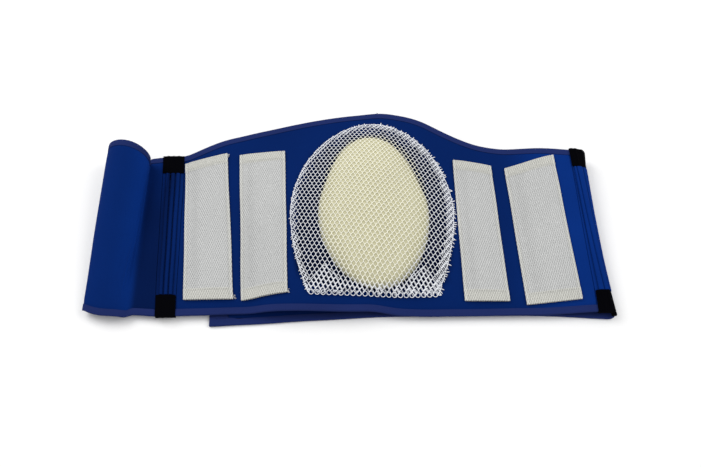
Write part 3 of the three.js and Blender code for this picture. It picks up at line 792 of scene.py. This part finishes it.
# Loose yarns stick out where the tape was cut: at the outer one's right corners and the inner ones' feet.
random.seed(5)
for number, corner in ((0, 2), (0, 1), (1, 1)):
    root = frays[number][corner]
    inwards = (sum(frays[number], Vector((0, 0))) / 4 - root).normalized()
    for _ in range(7):
        aim = Vector((math.copysign(1, -inwards.x), random.uniform(-1.2, 0.6))).normalized()
        start = root + inwards * random.uniform(0.5, 4.0) * mm
        spot = land(front_trees, *(start + aim * 2 * mm))
        casing_seams.append((spot[0] + Vector((0, 0, random.uniform(0.8, 2.0) * mm)), Vector((*aim, 0)), spot[1]))
casing_thread = threads("webbing_seams", casing_seams, (2.3 * mm, 0.5 * mm, 0.5 * mm))
settle(casing_thread, "webbing", white_thread)

# Foam pad
# An egg of cream latex foam, crowned on top and flat below, lies in the pocket and fills it up to
# the net.
foam_color = (0.565, 0.54, 0.365)
foam_swell = 1.1 * mm
foam_paint = cloth_paint("foam_latex", foam_color, 0.85, 1200.0, 0.1, 0.3 * mm, Specular_IOR_Level=0.1)
pad = cut_from("foam_pad", "pad_foam")
subdivide(pad, 2)
for vertex, normal in with_normals(pad):
    if normal.z > 0:
        vertex.co += normal * foam_swell
slacken(pad)
settle(pad, "foam", foam_paint, "foam_pad")

# Net pocket
# A white knitted net with six-sided holes is stretched over the pad and sewn to the panel round its
# edge, which is turned double. Its foot is a deeper double hem with folded corners. The cut yarns
# stand out from the edge.
net_pitch = 4.85 * mm
net_row = 3.95 * mm
net_yarn = 0.6 * mm
net_crown = 0.25 * mm
net_wall = 0.45 * mm
net_sink = 1.0 * mm
net_join = 0.6 * mm
net_columns = 26
net_rows = 38
net_color = (0.86, 0.88, 0.92)
net_paint = cloth_paint("net_yarn", net_color, 0.7, 3000.0, 0.1, 0.1 * mm, Specular_IOR_Level=0.2)

# Painted light: the yarn is painted warm where it lies on the pad, as light from the cream foam shining through and
# off the thin yarn. The UV map "tone" tells where.
foam_light_color = (1.0, 0.99, 0.86)
tree = net_paint.node_tree
tone = node(tree, "UVMap", uv_map="tone")
split = node(tree, "SeparateXYZ")
foam_light = node(tree, "Mix", data_type="RGBA", in_6=(*net_color, 1), in_7=(*foam_light_color, 1))
wire(tree, [
    (tone.outputs["UV"], split.inputs[0]),
    (split.outputs[0], foam_light.inputs[0]),
    (foam_light.outputs[2], tree.nodes["Group"].inputs["Color"]),
])
pad_low, pad_high = (Vector(corner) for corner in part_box("foam_pad"))
pad_middle = (pad_low + pad_high) / 2
pad_half = (pad_high - pad_low) / 2


def on_pad(point):
    """How far a place in plan lies over the pad, from 0 to 1."""
    reach = math.hypot((point.x - pad_middle.x) / pad_half.x, (point.y - pad_middle.y) / pad_half.y)
    return rise(0.97 - reach, 0.06)


net_cad = cut_from("net_pocket", "net_shape")
shape = bmesh.new()
shape.from_mesh(net_cad.data)
upper = [vertex.co.copy() for vertex in shape.verts if any(face.normal.z > 0.3 for face in vertex.link_faces)]
shape.free()
bpy.data.objects.remove(net_cad)
plan, _, triangles, _, _, _ = delaunay_2d_cdt([point.xy for point in upper], [], [], 0, 0.01 * mm)
over_net = BVHTree.FromPolygons([Vector((*point, 0)) if i >= len(upper) else upper[i] for i, point in enumerate(plan)], triangles)
outline = [plan[i].copy() for i in convex_hull_2d(plan)]
low, high = (Vector(corner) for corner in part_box("net_pocket"))
net_middle = (low + high).xy / 2
if (outline[1] - outline[0]).cross(net_middle - outline[0]) < 0:
    outline.reverse()


def depth_in(point):
    """How deep a point lies inside the net's outline, and the way inwards from the nearest side."""
    best = (math.inf, None)
    for start, end in zip(outline, outline[1:] + outline[:1]):
        along = end - start
        inwards = Vector((-along.y, along.x)).normalized()
        depth = (point - start).dot(inwards)
        if depth < best[0]:
            best = (depth, inwards)
    return best


def pull_in(point, margin):
    """A point moved to at least a margin inside the outline."""
    for _ in range(3):
        depth, inwards = depth_in(point)
        if depth >= margin:
            break
        point = point + inwards * (margin - depth)
    return point


def net_height(point):
    """The place on the net's face over a point in plan."""
    hit = over_net.ray_cast(Vector((*point, 0.2)), Vector((0, 0, -1)))[0]
    return hit


def skewed(u, v):
    """A place in plan by the net's own columns and rows, which hang lower to the right."""
    u, v = u / mm, v / mm
    y = v - 0.227 * u
    return net_middle + Vector((u + 0.07 * y, y)) * mm


def hexagon(reach, tip, side):
    """Twelve points round a hole: a six-sided shape, pointed at top and bottom, and its sides' middles."""
    middle = (reach / 2, (tip + side) / 2)
    quarter = [(reach, 0), (reach, side), middle, (0, tip), (-middle[0], middle[1]), (-reach, side)]
    return quarter + [(-x, -y) for x, y in quarter]


def net_cell(yarn):
    """The middle line of the yarn round one hole and the hole's own edge, from the hole's middle."""
    reach = net_pitch / 2
    tip = net_row - net_join
    slope = (tip - net_join) / reach
    hole = reach - 0.62 * yarn
    hole_tip = tip - yarn / 2 * math.hypot(1, slope)
    return hexagon(reach, tip, net_join), hexagon(hole, hole_tip - 0.1 * yarn, hole_tip - slope * hole)


def net_layer(name, lift, yarn, shift, keep):
    """One layer of net: a ring of yarn round each hole, highest along the middle of the yarn."""
    points = []
    faces = []
    numbers = {}

    def number(u, v, rise_by):
        key = (round(u / mm, 2), round(v / mm, 2), rise_by > 0)
        if key not in numbers:
            plan = pull_in(skewed(u, v), 0.15 * mm)
            place = net_height(plan)
            numbers[key] = None if place is None else len(points)
            if place is not None:
                sink = net_sink * rise(depth_in(plan)[0] - 14 * mm, 20 * mm)
                points.append(place + Vector((0, 0, lift - sink + rise_by)))
        return numbers[key]

    middle_line, edge_line = net_cell(yarn)
    for j in range(-net_rows, net_rows + 1):
        for i in range(-net_columns, net_columns + 1):
            u = (i + 0.5 * (j % 2) + shift[0]) * net_pitch
            v = (j + shift[1]) * net_row
            middle = skewed(u, v)
            depth, inwards = depth_in(middle)
            at_foot = inwards.y > 0.9 and depth < 3.6 * mm
            if at_foot or not keep(middle, depth):
                continue
            outer = [number(u + x, v + y, net_crown) for x, y in middle_line]
            inner = [number(u + x, v + y, 0) for x, y in edge_line]
            if None in outer or None in inner:
                continue
            for k in range(12):
                after = (k + 1) % 12
                corners = (outer[k], outer[after], inner[after], inner[k])
                if len(set(corners)) == 4:
                    faces.append(corners)
    mesh = bpy.data.meshes.new(name)
    mesh.from_pydata(points, [], faces)
    piece = bpy.data.objects.new(name, mesh)
    bpy.context.collection.objects.link(piece)
    apply_modifier(piece, "SOLIDIFY", thickness=net_wall, offset=-1)
    keep_tone(piece, [(on_pad(vertex.co), 0) for vertex in piece.data.vertices])
    slacken(piece)
    return piece


net = net_layer("net_mesh", -0.4 * mm, net_yarn, (0, 0), lambda middle, depth: depth > 0.8 * mm)
settle(net, "net", net_paint, "net_pocket")


def band_width(middle):
    """The width of the turned edge, which is broader on the right and at the top."""
    share = rise(middle.x - net_middle.x, 120 * mm)
    top = rise(middle.y - net_middle.y - 70 * mm, 40 * mm)
    return (3.2 + 3.0 * max(share, 0.6 * top)) * mm


net_edge = net_layer(
    "net_edge", 0.3 * mm, 0.9 * mm, (0.35, 0.3), lambda middle, depth: -0.5 * mm < depth < band_width(middle)
)
settle(net_edge, "net", net_paint)


def hem_height(x):
    """Height of the foot's hem, with the folded corners near its ends."""
    left = max(0, 1 - abs(x - net_middle.x + 49 * mm) / (17 * mm))
    right = max(0, 1 - abs(x - net_middle.x - 50 * mm) / (17 * mm))
    return (13 + 17 * max(left, right)) * mm


net_hem = net_layer(
    "net_hem", 0.4 * mm, 0.85 * mm, (0.09, 0.12),
    lambda middle, depth: depth > 2 * mm and middle.y - low.y < hem_height(middle.x),
)
settle(net_hem, "net", net_paint)

# The net's edge is oversewn, its cut yarns stand out beyond it, and the foot ends in loops.
random.seed(11)
spikes = []
knots = []
up = Vector((0, 0, 1))
for start, end in zip(outline, outline[1:] + outline[:1]):
    along = (end - start).normalized()
    outwards = Vector((along.y, -along.x))
    foot = outwards.y < -0.9
    for point in row_between(start, end, net_pitch if foot else 2.3 * mm):
        if foot:
            for k in range(10):
                turn = 2 * math.pi * (k + 0.5) / 10
                way = Vector((-math.sin(turn), math.cos(turn)))
                spot = point + Vector((math.cos(turn), math.sin(turn))) * 2.2 * mm - outwards * 1.5 * mm
                knots.append((net_height(pull_in(spot, 0.3 * mm)).z, spot, way))
            continue
        knots.append((net_height(pull_in(point, 0.7 * mm)).z, pull_in(point, 0.7 * mm), along))
        right = rise(point.x - net_middle.x + 20 * mm, 60 * mm)
        if random.random() > 0.4 + 0.25 * right:
            continue
        length = random.uniform(1.0, 1.6 + 2.0 * right) * mm
        aim = (outwards + along * random.uniform(-0.6, 0.6)).normalized()
        tip = point + aim * length
        spot = land(front_trees, tip.x, tip.y)
        if spot is None:
            continue
        root = net_height(pull_in(point, 0.4 * mm))
        tip = spot[0] + up * random.uniform(0.3, 1.2) * mm
        spikes.append(((root + tip) / 2, tip - root, up, (tip - root).length * 1.3))
for middle_x in (-49 * mm, 50 * mm):
    for way in (-1, 1):
        foot_end = net_middle.x + middle_x + way * 15 * mm
        start = Vector((foot_end, low.y + 15 * mm))
        end = Vector((net_middle.x + middle_x, low.y + 29 * mm))
        for point in row_between(start, end, 2.1 * mm):
            spot = pull_in(point, 1.5 * mm)
            knots.append((net_height(spot).z + 0.3 * mm, spot, end - start))
knots = [(Vector((*spot, z + 0.4 * mm)), Vector((*way, 0)), up) for z, spot, way in knots]
net_knots = threads("net_seam", knots, (2.2 * mm, 0.85 * mm, 0.8 * mm))
settle(net_knots, "net", net_paint)
groups = {}
for place, along, normal, length in spikes:
    groups.setdefault(round(length / mm), []).append((place, along, normal))
ends = [threads(f"net_ends_{size}", places, (size * mm, 1.15 * mm, 0.8 * mm)) for size, places in groups.items()]
only(*ends)
bpy.ops.object.join()
net_ends = ends[0]
net_ends.name = "net_ends"
settle(net_ends, "net", net_paint)
